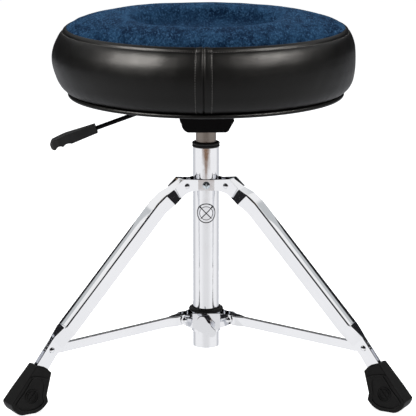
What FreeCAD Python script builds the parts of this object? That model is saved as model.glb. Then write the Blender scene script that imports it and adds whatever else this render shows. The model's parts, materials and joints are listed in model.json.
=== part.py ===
import FreeCAD, Part
import math
import os

# Drum throne: a round padded seat on a gas lift, over a folding double-leaf tripod.
# Millimetres, +Z up. The origin is on the column's axis, at the level of the floor.
# The front of the throne faces -Y. Legs stand at 90, 210 and 330 degrees about +Z.

Vec = FreeCAD.Vector
Z_AXIS = Vec(0, 0, 1)
SIDE_AXIS = Vec(0, 1, 0)

LEG_AZIMUTHS = {"left": 210, "right": 330, "rear": 90}
# Each hub plate closes the gap between two neighbouring legs.
PLATE_AZIMUTHS = {"front": 270, "left": 150, "right": 30}

# Column and gas lift
COLUMN_R = 18.0
COLUMN_WALL = 2.0
COLUMN_BOTTOM = 50.0
COLUMN_TOP = 333.0
CYLINDER_R = 14.0
CYLINDER_WALL = 1.5
CYLINDER_BOTTOM = 70.0
CYLINDER_TAPER_Z = 360.0
CYLINDER_TOP = 380.0
CYLINDER_TIP_R = 13.4
CYLINDER_END_IN = 366.0
CYLINDER_HOLE_Z = 370.0
BUSHING_BOTTOM = 303.0
ROD_R = 5.0
ROD_BOTTOM = 50.5
CLIP_LOW = 52.2
CLIP_HIGH = 53.7
CLIP_GROOVE_R = ROD_R - 0.8
PLUG_LOW = 54.0
PLUG_HIGH = 62.0
WASHER_TOP = 64.0
RUNNING_GAP = 0.05
PISTON_Z = 220.0
COLLAR_R = 19.0
COLLAR_TOP = 339.5

# Seat
BOARD_R = 180.0
BOARD_BOTTOM = 407.0
BOARD_T = 12.0
SIDE_COVER_T = 1.6
TOP_COVER_T = 2.0
SEAM_R = 190.0
SEAM_Z = 498.0
DISH_Z = 495.0
CREST_Z = 514.0
PLATE_T = 3.0
BOARD_EDGE_Z = 411.5
PIPING_R = 185.3
PIPING_TUBE_R = 2.8
BOLT_R = 3.0
BOLT_HEAD_R = 6.0
BOLT_WASHER_R = 8.0
NUT_BARREL_R = 4.5
NUT_FLANGE_R = 9.0
NUT_FLANGE_T = 1.5
BOLT_SPOTS = [(-55, -32), (-55, 32), (55, -32), (55, 32)]
SIDE_POINTS = [(184, BOARD_EDGE_Z), (195.5, 419.5), (203, 436), (206, 458), (203.6, 475), (198.6, 487),
               (SEAM_R, SEAM_Z)]
TOP_POINTS = [(SEAM_R, SEAM_Z), (180, 504), (150, 511.5), (118, CREST_Z), (92, 511.5), (66, 503), (36, 496.4),
              (0, DISH_Z)]

# Height lever, release button and their case
LEVER_Z = 388.0
LEVER_R = 3.0
LEVER_PIN_R = 1.5
LEVER_PIVOT_X = -22.0
LEVER_BEND_X = -70.0
LEVER_BEND_R = 24.0
LEVER_DROOP = 20.0
LEVER_IN_GRIP = 20.0
GRIP_START_X = -150.0
GRIP_LENGTH = 67.0
BUTTON_R = 3.5
CASE_BOTTOM = 360.0
CASE_TOP = 403.0
CASE_HALF_DEPTH = 42.0
CASE_WALL = 2.5

# Tripod pivots, as distance from the column's axis and height
LEG_PIVOT = (37.0, 283.0)
BRACE_PIVOT = (243.5, 80.6)
STRUT_PIVOT = (39.7, 93.5)
RIVET_R = 3.0
RIVET_HEAD_R = 4.0
RIVET_HEAD_T = 2.0
RIVET_HOLE_R = RIVET_R + RUNNING_GAP

# Legs and struts, both folded from sheet
LEG_SHEET = 1.5
LEG_NECK_HALF = 9.5
LEG_HALF = 11.5
LEG_TIP_HALF = 4.6
LEG_EYE_R = 8.74
STRUT_SHEET = 1.5
STRUT_HALF = 2.75
STRUT_FLARE_HALF = 7.2
STRUT_EYE_R = 6.2
STRUT_DEPTH_BELOW = 7.2
LEG_FOLD_R = 2.0
STRUT_FOLD_R = 1.2

# Hubs
HUB_SHEET = 2.0
UPPER_EAR_OFFSET = 9.8
UPPER_PLATE_LOW = 275.0
UPPER_PLATE_HIGH = 290.0
UPPER_FLAT_HALF = 11.6
LOWER_EAR_OFFSET = 7.5
LOWER_PLATE_LOW = 80.4
LOWER_PLATE_HIGH = 100.7
LOWER_FLAT_HALF = 19.5
LOWER_POINT_Z = 70.0
SLEEVE_R = 20.0
SLEEVE_LOW = 72.0
SCREW_Z = 282.5
SCREW_R = 2.5
SCREW_HEAD_R = 5.0
SCREW_HEAD_T = 2.8
SCREW_DOME_R = 6.6
SCREW_DOME_IN = 6.4
CROSS_RECESS = (1.1, 5.0, 1.6)
WING_AXIS_Z = 88.0
WING_LEAN = 52.0
SHOE_R = 4.0
SHOE_BACK = -18.3
SHOE_FRONT = -21.5

# Longer than anything it cuts, for prisms and holes that pass right through.
FAR = 60.0
WIDE = 20.0


# ---------------------------------------------------------------- helpers

def save(name, shape):
    shape.exportStep("parts/%s.step" % name)


def group(shapes):
    return Part.makeCompound(shapes)


def turned(shape, azimuth):
    copy = shape.copy()
    copy.rotate(Vec(0, 0, 0), Z_AXIS, azimuth)
    return copy


def disc(radius, low, high):
    return Part.makeCylinder(radius, high - low, Vec(0, 0, low))


def ring(outer, inner, low, high):
    return disc(outer, low, high).cut(disc(inner, low - 1, high + 1))


def cross_pin(radius, point, low, high):
    """A pin along Y through a (distance, height) point."""
    return Part.makeCylinder(radius, high - low, Vec(point[0], low, point[1]), SIDE_AXIS)


def outline(start, steps):
    """A closed face in the XZ plane; a step is a point, or an arc's (middle, end)."""
    edges = []
    here = Vec(start[0], 0, start[1])
    for step in steps:
        if isinstance(step[0], tuple):
            middle = Vec(step[0][0], 0, step[0][1])
            there = Vec(step[1][0], 0, step[1][1])
            edges.append(Part.Arc(here, middle, there).toShape())
        else:
            there = Vec(step[0], 0, step[1])
            edges.append(Part.makeLine(here, there))
        here = there
    first = Vec(start[0], 0, start[1])
    if here.distanceToPoint(first) > 0.001:
        edges.append(Part.makeLine(here, first))
    return Part.Face(Part.Wire(edges))


def slab(face, low, high):
    """A face in the XZ plane, made solid from Y = low to Y = high."""
    copy = face.copy()
    copy.translate(Vec(0, low, 0))
    return copy.extrude(Vec(0, high - low, 0))


def revolved(start, steps):
    return outline(start, steps).revolve(Vec(0, 0, 0), Z_AXIS, 360)


def toward(start, end):
    """Unit vector between two (distance, height) points, and the normal on its outer side."""
    length = math.dist(start, end)
    along = Vec((end[0] - start[0]) / length, 0, (end[1] - start[1]) / length)
    return along, Vec(-along.z, 0, along.x)


def widths(start, along, normal, points):
    """A prism whose width, at each distance along a line, is given by (distance, half width)."""
    origin = Vec(start[0], 0, start[1])
    corners = []
    for distance, half in points:
        corners.append(origin + along * distance + SIDE_AXIS * half - normal * FAR)
    for distance, half in reversed(points):
        corners.append(origin + along * distance - SIDE_AXIS * half - normal * FAR)
    face = Part.Face(Part.makePolygon(corners + corners[:1]))
    return face.extrude(normal * (2 * FAR))


def at(start, along, normal, distance, offset):
    point = Vec(start[0], 0, start[1]) + along * distance + normal * offset
    return (point.x, point.z)


def dome(point, low, outward):
    """A low rivet head: a disc with a rounded rim on one side of a sheet."""
    side = 1 if outward > 0 else -1
    base = Part.makeCylinder(RIVET_HEAD_R, RIVET_HEAD_T, Vec(point[0], low, point[1]), SIDE_AXIS * side)
    ball_r = (RIVET_HEAD_R ** 2 + RIVET_HEAD_T ** 2) / (2 * RIVET_HEAD_T)
    ball_y = low + side * (RIVET_HEAD_T - ball_r)
    return base.common(Part.makeSphere(ball_r, Vec(point[0], ball_y, point[1])))


# ---------------------------------------------------------------- column and gas lift

def column_tube():
    tube = ring(COLUMN_R, COLUMN_R - COLUMN_WALL, COLUMN_BOTTOM, COLUMN_TOP)
    return tube.cut(hub_screw_holes())


def hub_screw_holes():
    holes = []
    for azimuth in PLATE_AZIMUTHS.values():
        hole = Part.makeCylinder(SCREW_R, WIDE, Vec(COLUMN_R / 2, 0, SCREW_Z), Vec(1, 0, 0))
        holes.append(turned(hole, azimuth))
    return group(holes)


def guide_bushing():
    """Plastic sleeve that guides the gas cylinder, with a two-lipped collar on the tube's end."""
    bore = CYLINDER_R + RUNNING_GAP
    tube_bore = COLUMN_R - COLUMN_WALL
    steps = [
        (tube_bore, BUSHING_BOTTOM),
        (tube_bore, COLUMN_TOP),
        (COLLAR_R - 0.6, COLUMN_TOP),
        ((COLLAR_R, COLUMN_TOP + 1.4), (COLLAR_R - 0.6, COLUMN_TOP + 2.8)),
        (COLLAR_R - 1.2, COLUMN_TOP + 3.2),
        (COLLAR_R - 0.6, COLUMN_TOP + 3.6),
        ((COLLAR_R, COLUMN_TOP + 4.8), (COLLAR_R - 0.8, COLLAR_TOP)),
        (bore + 1.6, COLLAR_TOP),
        (bore, COLLAR_TOP - 1.2),
    ]
    return revolved((bore, BUSHING_BOTTOM), steps)


def column_bottom_plug():
    return ring(COLUMN_R - COLUMN_WALL, ROD_R + RUNNING_GAP, PLUG_LOW, PLUG_HIGH)


def thrust_washer():
    return ring(12, ROD_R + RUNNING_GAP, PLUG_HIGH, WASHER_TOP)


def piston_rod():
    """Rod with a shoulder that rests on the thrust washer and a groove for its clip."""
    rod = disc(ROD_R, ROD_BOTTOM, PISTON_Z + 14)
    shoulder = disc(1.5 * ROD_R, WASHER_TOP + 0.1, WASHER_TOP + 3)
    groove = ring(ROD_R + 1, CLIP_GROOVE_R, CLIP_LOW, CLIP_HIGH)
    return rod.fuse(shoulder).cut(groove).removeSplitter()


def rod_retaining_clip():
    clip = ring(8, CLIP_GROOVE_R, CLIP_LOW, CLIP_HIGH)
    mouth = Part.makeBox(10, 5, 4, Vec(0, -2.5, CLIP_LOW - 1))
    return clip.cut(mouth)


def piston():
    body = ring(CYLINDER_R - CYLINDER_WALL - RUNNING_GAP, ROD_R, PISTON_Z, PISTON_Z + 12)
    groove = ring(CYLINDER_R, 10.5, PISTON_Z + 4.5, PISTON_Z + 7.5)
    return body.cut(groove)


def gas_cylinder():
    """Closed tube with a tapered top end, and a blind hole for the release button."""
    bore = CYLINDER_R - CYLINDER_WALL
    hole = BUTTON_R + RUNNING_GAP
    return revolved((CYLINDER_R, CYLINDER_BOTTOM), [
        (CYLINDER_R, CYLINDER_TAPER_Z),
        (CYLINDER_TIP_R, CYLINDER_TOP),
        (hole, CYLINDER_TOP),
        (hole, CYLINDER_HOLE_Z),
        (0, CYLINDER_HOLE_Z),
        (0, CYLINDER_END_IN),
        (bore, CYLINDER_END_IN),
        (bore, CYLINDER_BOTTOM),
    ])


def cylinder_end_guide():
    return ring(CYLINDER_R - CYLINDER_WALL, ROD_R + RUNNING_GAP, CYLINDER_BOTTOM, CYLINDER_BOTTOM + 8)


# ---------------------------------------------------------------- seat mechanism

def case_outline(inset):
    """The pressed case from the front: narrow below, with a folded bulge on each side."""
    low = CASE_BOTTOM + inset
    steps = [
        (-34 + inset, 386),
        ((-36.5 + inset, 379), (-34 + inset, 372)),
        ((-30 + inset, 363 + inset), (-25 + inset, low)),
        (25.5 - inset, low),
        ((29 - inset, 361.5 + inset), (31 - inset, 364.5 + inset)),
        (37.5 - inset, 376),
        (34.5 - inset, 386),
        (34.5 - inset, CASE_TOP),
    ]
    return outline((-34 + inset, CASE_TOP), steps)


def mechanism_case():
    """Open-topped pressed box, with a round hole for the cylinder and a slot for the lever."""
    box = slab(case_outline(0), -CASE_HALF_DEPTH, CASE_HALF_DEPTH)
    hollow = slab(case_outline(CASE_WALL), -CASE_HALF_DEPTH + CASE_WALL, CASE_HALF_DEPTH - CASE_WALL)
    slot = Part.makeBox(10, 9, 11, Vec(-39, -4.5, LEVER_Z - 4.5))
    return box.cut(hollow).cut(disc(CYLINDER_R, 355, 364)).cut(slot)


def taper_socket():
    body = disc(COLLAR_R, CASE_BOTTOM + CASE_WALL, CYLINDER_TOP - 1)
    height = CYLINDER_TOP - CYLINDER_TAPER_Z
    cone = Part.makeCone(CYLINDER_R, CYLINDER_TIP_R, height, Vec(0, 0, CYLINDER_TAPER_Z))
    return body.cut(cone)


def lever_bracket():
    """Two upright lugs on a foot, which hold the lever's pivot pin."""
    low = CASE_BOTTOM + CASE_WALL
    toe = (-22.4, low)
    lug_face = outline(toe, [
        (-28, 368.5),
        (-28, LEVER_Z),
        ((LEVER_PIVOT_X, LEVER_Z + 6), (-16, LEVER_Z)),
        (-16, 384),
        (-20.5, 380),
        (-20.5, low),
    ])
    foot_face = outline(toe, [(-25, low + 3), (-20.5, low + 3), (-20.5, low)])
    bracket = slab(foot_face, -7, 7)
    for side in (-1, 1):
        bracket = bracket.fuse(slab(lug_face, side * 6 - 1, side * 6 + 1))
    return bracket.cut(cross_pin(LEVER_PIN_R, (LEVER_PIVOT_X, LEVER_Z), -9, 9)).removeSplitter()


def lever_pivot_pin():
    pin = cross_pin(LEVER_PIN_R, (LEVER_PIVOT_X, LEVER_Z), -8, 8)
    head = cross_pin(2.6, (LEVER_PIVOT_X, LEVER_Z), -8.8, -8)
    return pin.fuse(head).removeSplitter()


def lever_slope():
    angle = math.radians(LEVER_DROOP)
    return Vec(-math.cos(angle), 0, -math.sin(angle))


def lever_rod():
    """Round bar: level inside the case, then bent down towards the grip."""
    slope = lever_slope()
    half_turn = math.radians(LEVER_DROOP / 2)
    trim = LEVER_BEND_R * math.tan(half_turn)
    corner = Vec(LEVER_BEND_X, 0, LEVER_Z)
    start = Vec(7, 0, LEVER_Z)
    arc_start = corner + Vec(trim, 0, 0)
    arc_end = corner + slope * trim
    sag = LEVER_BEND_R / math.cos(half_turn) - LEVER_BEND_R
    inward = (Vec(1, 0, 0) + slope).normalize()
    arc_middle = corner + inward * sag
    end = corner + slope * ((LEVER_BEND_X - GRIP_START_X + LEVER_IN_GRIP) / -slope.x)
    path = Part.Wire([
        Part.makeLine(start, arc_start),
        Part.Arc(arc_start, arc_middle, arc_end).toShape(),
        Part.makeLine(arc_end, end),
    ])
    circle = Part.Wire([Part.makeCircle(LEVER_R, start, Vec(-1, 0, 0))])
    rod = path.makePipeShell([circle], True, True)
    hole = cross_pin(LEVER_PIN_R + RUNNING_GAP, (LEVER_PIVOT_X, LEVER_Z), -9, 9)
    return rod.cut(hole)


def grip_frame():
    slope = lever_slope()
    start_z = LEVER_Z - (LEVER_BEND_X - GRIP_START_X) * math.tan(math.radians(LEVER_DROOP))
    return (GRIP_START_X, start_z), slope, Vec(slope.z, 0, -slope.x)


def lever_grip():
    """Flat spatula grip, wider at its free end, with two finger scallops below."""
    start, along, normal = grip_frame()
    plan = [(0, 6), (12, 7), (40, 11), (55, 12), (63, 10.5), (GRIP_LENGTH, 7)]
    edge = [
        at(start, along, normal, 0, 6.2),
        at(start, along, normal, 44, 7.4),
        at(start, along, normal, 60, 5.8),
    ]
    tip = (at(start, along, normal, 66, 3), at(start, along, normal, GRIP_LENGTH, -1.5))
    heel = (at(start, along, normal, 66, -6), at(start, along, normal, 61, -7.8))
    scallops = [
        (at(start, along, normal, 56, -5), at(start, along, normal, 50.5, -7.6)),
        (at(start, along, normal, 44.5, -5.2), at(start, along, normal, 38, -7.3)),
    ]
    end = at(start, along, normal, 0, -6.2)
    face = outline(edge[0], edge[1:] + [tip, heel] + scallops + [end])
    grip = slab(face, -WIDE, WIDE).common(widths(start, along, normal, plan))
    socket_end = Vec(start[0], 0, start[1]) + along * (LEVER_IN_GRIP + 1.5)
    socket = Part.makeCylinder(LEVER_R, 40, socket_end, along * -1)
    return grip.cut(socket)


def release_button():
    """Valve pin on top of the gas cylinder, which the lever's inner end presses."""
    return disc(BUTTON_R, CYLINDER_HOLE_Z + 4.5, LEVER_Z - LEVER_R - 0.5)


# ---------------------------------------------------------------- seat

def at_bolts(shape):
    copies = []
    for x, y in BOLT_SPOTS:
        copy = shape.copy()
        copy.translate(Vec(x, y, 0))
        copies.append(copy)
    return copies


def mounting_plate():
    low = CASE_TOP
    plate = Part.makeBox(140, 92, PLATE_T, Vec(-70, -46, low))
    uprights = [edge for edge in plate.Edges if abs(edge.tangentAt(edge.FirstParameter).z) > 0.9]
    plate = plate.makeFillet(10, uprights)
    return plate.cut(group(at_bolts(disc(BOLT_R, low - 1, low + 5))))


def mount_bolts():
    head = disc(BOLT_HEAD_R, CASE_TOP - 4, CASE_TOP)
    washer = disc(BOLT_WASHER_R, CASE_TOP - 1.2, CASE_TOP)
    shank = disc(BOLT_R, CASE_TOP, BOARD_BOTTOM + 9)
    return group(at_bolts(head.fuse(washer).fuse(shank).removeSplitter()))


def t_nuts():
    board_top = BOARD_BOTTOM + BOARD_T
    barrel = ring(NUT_BARREL_R, BOLT_R, BOARD_BOTTOM + 2, board_top)
    flange = ring(NUT_FLANGE_R, BOLT_R, board_top, board_top + NUT_FLANGE_T)
    return group(at_bolts(barrel.fuse(flange).removeSplitter()))


def seat_board():
    board = disc(BOARD_R, BOARD_BOTTOM, BOARD_BOTTOM + BOARD_T)
    narrow = at_bolts(disc(BOLT_R, BOARD_BOTTOM - 1, BOARD_BOTTOM + 3))
    wide = at_bolts(disc(NUT_BARREL_R, BOARD_BOTTOM + 2, BOARD_BOTTOM + BOARD_T + 1))
    return board.cut(group(narrow)).cut(group(wide))


def spline(points):
    curve = Part.BSplineCurve()
    curve.interpolate([Vec(r, 0, z) for r, z in points])
    return curve.toShape()


def inner_side():
    """The back of the leather: the side's outline moved in by its thickness."""
    return [(r - SIDE_COVER_T, z) for r, z in SIDE_POINTS]


def inner_top():
    """The underside of the velour, down to where it meets the leather at the seam."""
    below = [(r, z - TOP_COVER_T) for r, z in TOP_POINTS[2:]]
    return [(SEAM_R - SIDE_COVER_T, SEAM_Z), (178.5, 501.6)] + below


def straight(start, end):
    return Part.makeLine(Vec(start[0], 0, start[1]), Vec(end[0], 0, end[1]))


def revolved_edges(edges):
    face = Part.Face(Part.Wire(edges))
    return face.revolve(Vec(0, 0, 0), Z_AXIS, 360)


def cover(outer, inner):
    """A skin between two lines, each given by its points."""
    centre = straight(outer[-1], inner[-1])
    edge = straight(inner[0], outer[0])
    return revolved_edges([spline(outer), centre, spline(inner), edge])


def seat_foam():
    """One closed block of foam on the board, hollowed for the nuts' flanges."""
    side = inner_side()
    top = inner_top()
    board_top = BOARD_BOTTOM + BOARD_T
    foam = revolved_edges([
        spline(side),
        spline(top),
        straight(top[-1], (0, board_top)),
        straight((0, board_top), (BOARD_R, board_top)),
        straight((BOARD_R, board_top), (BOARD_R, BOARD_EDGE_Z)),
        straight((BOARD_R, BOARD_EDGE_Z), side[0]),
    ])
    return foam.cut(group(at_bolts(disc(NUT_FLANGE_R, board_top - 1, board_top + NUT_FLANGE_T))))


def seat_piping():
    """Round welt under the edge of the leather."""
    return Part.makeTorus(PIPING_R, PIPING_TUBE_R, Vec(0, 0, BOARD_EDGE_Z - PIPING_TUBE_R - 0.3), Z_AXIS)


def dust_cover():
    low = BOARD_BOTTOM - 1
    cloth = disc(BOARD_R - 4, low, BOARD_BOTTOM)
    return cloth.cut(group(at_bolts(disc(BOLT_R, low - 1, BOARD_BOTTOM + 1))))


# ---------------------------------------------------------------- upper hub

def upper_ear():
    """One ear of an upper hub plate, seen square to its leg."""
    root = 19.2
    steps = [
        (42, 293),
        (54.8, 282),
        (46.5, 268),
        ((33, 274), (root, UPPER_PLATE_LOW)),
    ]
    return outline((root, UPPER_PLATE_HIGH), steps)


def hub_plate(ear, offset, flat_r, flat):
    """A plate bent into a flat between two ears; it is made for the -Y side and then turned."""
    body = slab(flat, -flat_r - HUB_SHEET, -flat_r)
    for azimuth, side in ((330, -1), (210, 1)):
        low = offset if side > 0 else -offset - HUB_SHEET
        body = body.fuse(turned(slab(ear, low, low + HUB_SHEET), azimuth))
    return body.removeSplitter()


def on_legs(shape):
    """A copy at each leg."""
    return group([turned(shape, azimuth) for azimuth in LEG_AZIMUTHS.values()])


def save_hub_plates(name, plate, holes):
    for side, azimuth in PLATE_AZIMUTHS.items():
        placed = turned(plate, azimuth - PLATE_AZIMUTHS["front"])
        for hole in holes:
            placed = placed.cut(hole)
        save(name + "_" + side, placed)


def upper_hub_plate():
    flat = outline((-UPPER_FLAT_HALF, UPPER_PLATE_LOW), [
        (UPPER_FLAT_HALF, UPPER_PLATE_LOW),
        (UPPER_FLAT_HALF, UPPER_PLATE_HIGH),
        (-UPPER_FLAT_HALF, UPPER_PLATE_HIGH),
    ])
    return hub_plate(upper_ear(), UPPER_EAR_OFFSET, COLUMN_R, flat)


def hub_screws():
    """Pan-head screws with a cross recess, one through each plate into the tube."""
    out = COLUMN_R + HUB_SHEET
    outward = Vec(1, 0, 0)
    shank = Part.makeCylinder(SCREW_R, 2 * SCREW_R, Vec(out - 2 * SCREW_R, 0, SCREW_Z), outward)
    head = Part.makeCylinder(SCREW_HEAD_R, SCREW_HEAD_T, Vec(out, 0, SCREW_Z), outward)
    ball = Part.makeSphere(SCREW_DOME_R, Vec(out + SCREW_HEAD_T - SCREW_DOME_IN, 0, SCREW_Z))
    screw = head.common(ball).fuse(shank)
    narrow, long, deep = CROSS_RECESS
    for width, height in ((narrow, long), (long, narrow)):
        corner = Vec(out + SCREW_HEAD_T - deep, -width / 2, SCREW_Z - height / 2)
        screw = screw.cut(Part.makeBox(2 * deep, width, height, corner))
    screw = screw.removeSplitter()
    return group([turned(screw, azimuth) for azimuth in PLATE_AZIMUTHS.values()])


def through_rivet(point, reach):
    """A headed pin across both ears; reach is the outer face of each ear."""
    pin = cross_pin(RIVET_R, point, -reach, reach)
    return pin.fuse(dome(point, reach, 1)).fuse(dome(point, -reach, -1)).removeSplitter()


# ---------------------------------------------------------------- legs

LEG_ALONG, LEG_NORMAL = toward(LEG_PIVOT, BRACE_PIVOT)
LEG_LENGTH = math.dist(LEG_PIVOT, BRACE_PIVOT)
# Its width and its upper edge change at the same distances, which lets the folds be rounded.
NECK_END = 16.0
SHOULDER = 30.0
KNEE = 46.0
WEB_END = LEG_LENGTH - 35.5
PINCH_END = LEG_LENGTH - 10.8
LEG_END = LEG_LENGTH + 62
# The neck of the leg leans further out than the rest; this is its upper edge.
NECK_ALONG, NECK_NORMAL = toward((39.5, 291.8), (81.9, 264.3))


def on_leg(distance, offset):
    """A point given along the line between the leg's two pivots, and square to it."""
    return at(LEG_PIVOT, LEG_ALONG, LEG_NORMAL, distance, offset)


def leg_outline():
    """The leg from the side: eye, knee, long straight run, and the bend into the foot."""
    outer_eye = at(LEG_PIVOT, NECK_ALONG, NECK_NORMAL, 0, LEG_EYE_R)
    back_eye = at(LEG_PIVOT, NECK_ALONG, NECK_NORMAL, -LEG_EYE_R, 0)
    inner_eye = at(LEG_PIVOT, NECK_ALONG, NECK_NORMAL, 0, -LEG_EYE_R)
    steps = [
        on_leg(NECK_END, 11.4),
        on_leg(SHOULDER, 16.4),
        on_leg(KNEE, 18.2),
        on_leg(60, 17.8),
        on_leg(WEB_END, 9.78),
        on_leg(PINCH_END, 8.6),
        on_leg(LEG_LENGTH + 26, 3.8),
        on_leg(LEG_END, -0.4),
        on_leg(LEG_END - 2.4, -18.6),
        on_leg(LEG_LENGTH + 21.8, -14.3),
        on_leg(LEG_LENGTH + 3, -10.7),
        on_leg(LEG_LENGTH - 33, -8.9),
        on_leg(58, -0.9),
        on_leg(KNEE, -0.9),
        on_leg(SHOULDER, -4.2),
        inner_eye,
        (back_eye, outer_eye),
    ]
    return outline(outer_eye, steps)


def leg_under_web():
    """The space below the leg's web, from the side."""
    start = at(LEG_PIVOT, NECK_ALONG, NECK_NORMAL, -30, LEG_EYE_R - LEG_SHEET)
    return outline(start, [
        on_leg(NECK_END, 11.4 - 1.1 * LEG_SHEET),
        on_leg(SHOULDER, 16.4 - 1.1 * LEG_SHEET),
        on_leg(KNEE, 18.2 - LEG_SHEET),
        on_leg(60, 17.8 - LEG_SHEET),
        on_leg(WEB_END, 9.78 - LEG_SHEET),
        on_leg(LEG_END, 9.78 - LEG_SHEET),
        on_leg(LEG_END, -FAR),
        on_leg(-FAR, -FAR),
    ])


def fold_edges(body, line, limits, offsets, half):
    """Edges lengthwise on either side of a (start, along, normal) line, within limits and offsets of it."""
    start, along, normal = line
    origin = Vec(start[0], 0, start[1])
    found = []
    for edge in body.Edges:
        ends = [vertex.Point - origin for vertex in edge.Vertexes]
        if len(ends) < 2 or ends[0].y * ends[1].y < 0:
            continue
        inside = all(limits[0] <= end.dot(along) <= limits[1] for end in ends)
        outside = all(offsets[0] <= end.dot(normal) <= offsets[1] for end in ends)
        aside = all(abs(end.y) >= half for end in ends)
        if inside and outside and aside and abs((ends[0] - ends[1]).dot(along)) > 1:
            found.append(edge)
    return found


def leg():
    """Channel folded from sheet, open inwards, pinched to a narrow fork at its lower end."""
    outer = [(-30, LEG_NECK_HALF), (NECK_END, LEG_NECK_HALF), (SHOULDER, LEG_HALF), (WEB_END, LEG_HALF),
             (PINCH_END, LEG_TIP_HALF), (LEG_END, LEG_TIP_HALF)]
    inner = [(distance, half - LEG_SHEET) for distance, half in outer]
    body = slab(leg_outline(), -WIDE, WIDE).common(widths(LEG_PIVOT, LEG_ALONG, LEG_NORMAL, outer))
    run = (SHOULDER - 1, WEB_END + 1)
    folds = fold_edges(body, (LEG_PIVOT, LEG_ALONG, LEG_NORMAL), run, (3, FAR), LEG_TIP_HALF)
    body = body.makeFillet(LEG_FOLD_R, folds)
    hollow = widths(LEG_PIVOT, LEG_ALONG, LEG_NORMAL, inner)
    below_web = hollow.common(slab(leg_under_web(), -WIDE, WIDE))
    fork = hollow.common(widths(LEG_PIVOT, LEG_ALONG, LEG_NORMAL, [(WEB_END, 30), (LEG_END + 9, 30)]))
    body = body.cut(below_web).cut(fork)
    body = body.cut(cross_pin(RIVET_HOLE_R, LEG_PIVOT, -WIDE, WIDE))
    return body.cut(cross_pin(RIVET_R, BRACE_PIVOT, -WIDE, WIDE))


def brace_rivets():
    """Headed stubs in the fork's two sides, at the outer end of the strut."""
    stubs = []
    for side in (-1, 1):
        low = LEG_TIP_HALF - LEG_SHEET if side > 0 else -LEG_TIP_HALF
        stub = cross_pin(RIVET_R, BRACE_PIVOT, low, low + LEG_SHEET)
        stubs.append(stub.fuse(dome(BRACE_PIVOT, side * LEG_TIP_HALF, side)).removeSplitter())
    return group(stubs)


def foot(leg_shape):
    """Rubber boot that swells towards a flat sole."""
    steps = [
        (253.7, 58),
        (247.5, 51.4),
        (256, 21.7),
        (254.3, 12.6),
        ((262, 5.2), (274, 0)),
        (293, 0),
        ((303, 5), (309.2, 17)),
    ]
    body = slab(outline((270, 64), steps), -WIDE, WIDE)
    swell = [(LEG_LENGTH + 8, 10), (LEG_LENGTH + 24, 10.3), (LEG_LENGTH + 70, 13.6), (LEG_LENGTH + 112, 13.6)]
    body = body.common(widths(LEG_PIVOT, LEG_ALONG, LEG_NORMAL, swell))
    return body.cut(leg_shape)


# ---------------------------------------------------------------- lower hub

def lower_ear():
    """One ear of a lower hub plate, seen square to its strut."""
    root = 26.4
    point_r, point_z = STRUT_PIVOT
    steps = [
        (point_r, LOWER_PLATE_HIGH),
        ((point_r + 5.6, point_z + 1.2), (point_r + 3, point_z - 6)),
        (30, LOWER_PLATE_LOW),
        (root, LOWER_PLATE_LOW),
    ]
    return outline((root, LOWER_PLATE_HIGH), steps)


def sleeve():
    """Short tube that slides on the column, with a hole for the lock shoe."""
    body = ring(SLEEVE_R, COLUMN_R + RUNNING_GAP, SLEEVE_LOW, LOWER_PLATE_HIGH)
    return body.cut(shoe_hole())


def shoe_hole():
    return cross_pin(SHOE_R + RUNNING_GAP, (0, WING_AXIS_Z), -34, -15)


def lower_hub_plate():
    """A bent plate whose flat comes down to a point."""
    wide = LOWER_FLAT_HALF
    flat = outline((-wide, LOWER_PLATE_HIGH), [
        (-wide, LOWER_PLATE_LOW),
        (0.5 - wide, LOWER_PLATE_LOW),
        (0, LOWER_POINT_Z),
        (wide - 0.5, LOWER_PLATE_LOW),
        (wide, LOWER_PLATE_LOW),
        (wide, LOWER_PLATE_HIGH),
    ])
    return hub_plate(lower_ear(), LOWER_EAR_OFFSET, SLEEVE_R, flat)


def hub_rubber_ring():
    """Bumper on top of the sleeve, clear of the column."""
    bore = COLUMN_R + 0.3
    low = LOWER_PLATE_HIGH
    return revolved((22.6, low), [
        (23.6, low + 1.2),
        ((23.9, low + 2.5), (23.4, low + 3.8)),
        (22.3, low + 4.8),
        (bore + 0.6, low + 4.8),
        (bore, low + 4.2),
        (bore, low),
    ])


def wing_bolt_boss():
    front = -SLEEVE_R - HUB_SHEET
    boss = cross_pin(8, (0, WING_AXIS_Z), front - 7, front)
    return boss.cut(shoe_hole())


def lock_shoe():
    """Pad that the wing bolt presses against the column."""
    return cross_pin(SHOE_R, (0, WING_AXIS_Z), SHOE_FRONT, SHOE_BACK)


def wing_bolt():
    """Threaded shank, round boss and two flat wings that lean down to the right."""
    shank = cross_pin(SHOE_R, (0, WING_AXIS_Z), -40, SHOE_FRONT)
    boss = cross_pin(6, (0, WING_AXIS_Z), -44, -32)
    wings = []
    for side in (-1, 1):
        face = outline((2 * side, WING_AXIS_Z - 5), [
            (2 * side, WING_AXIS_Z + 5),
            (12 * side, WING_AXIS_Z + 6),
            ((17 * side, WING_AXIS_Z), (12 * side, WING_AXIS_Z - 6)),
        ])
        wing = slab(face, -44, -40.5)
        wings.append(wing)
    bolt = shank.fuse(boss).fuse(wings[0]).fuse(wings[1]).removeSplitter()
    bolt.rotate(Vec(0, 0, WING_AXIS_Z), SIDE_AXIS, WING_LEAN)
    return bolt


# ---------------------------------------------------------------- struts

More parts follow.
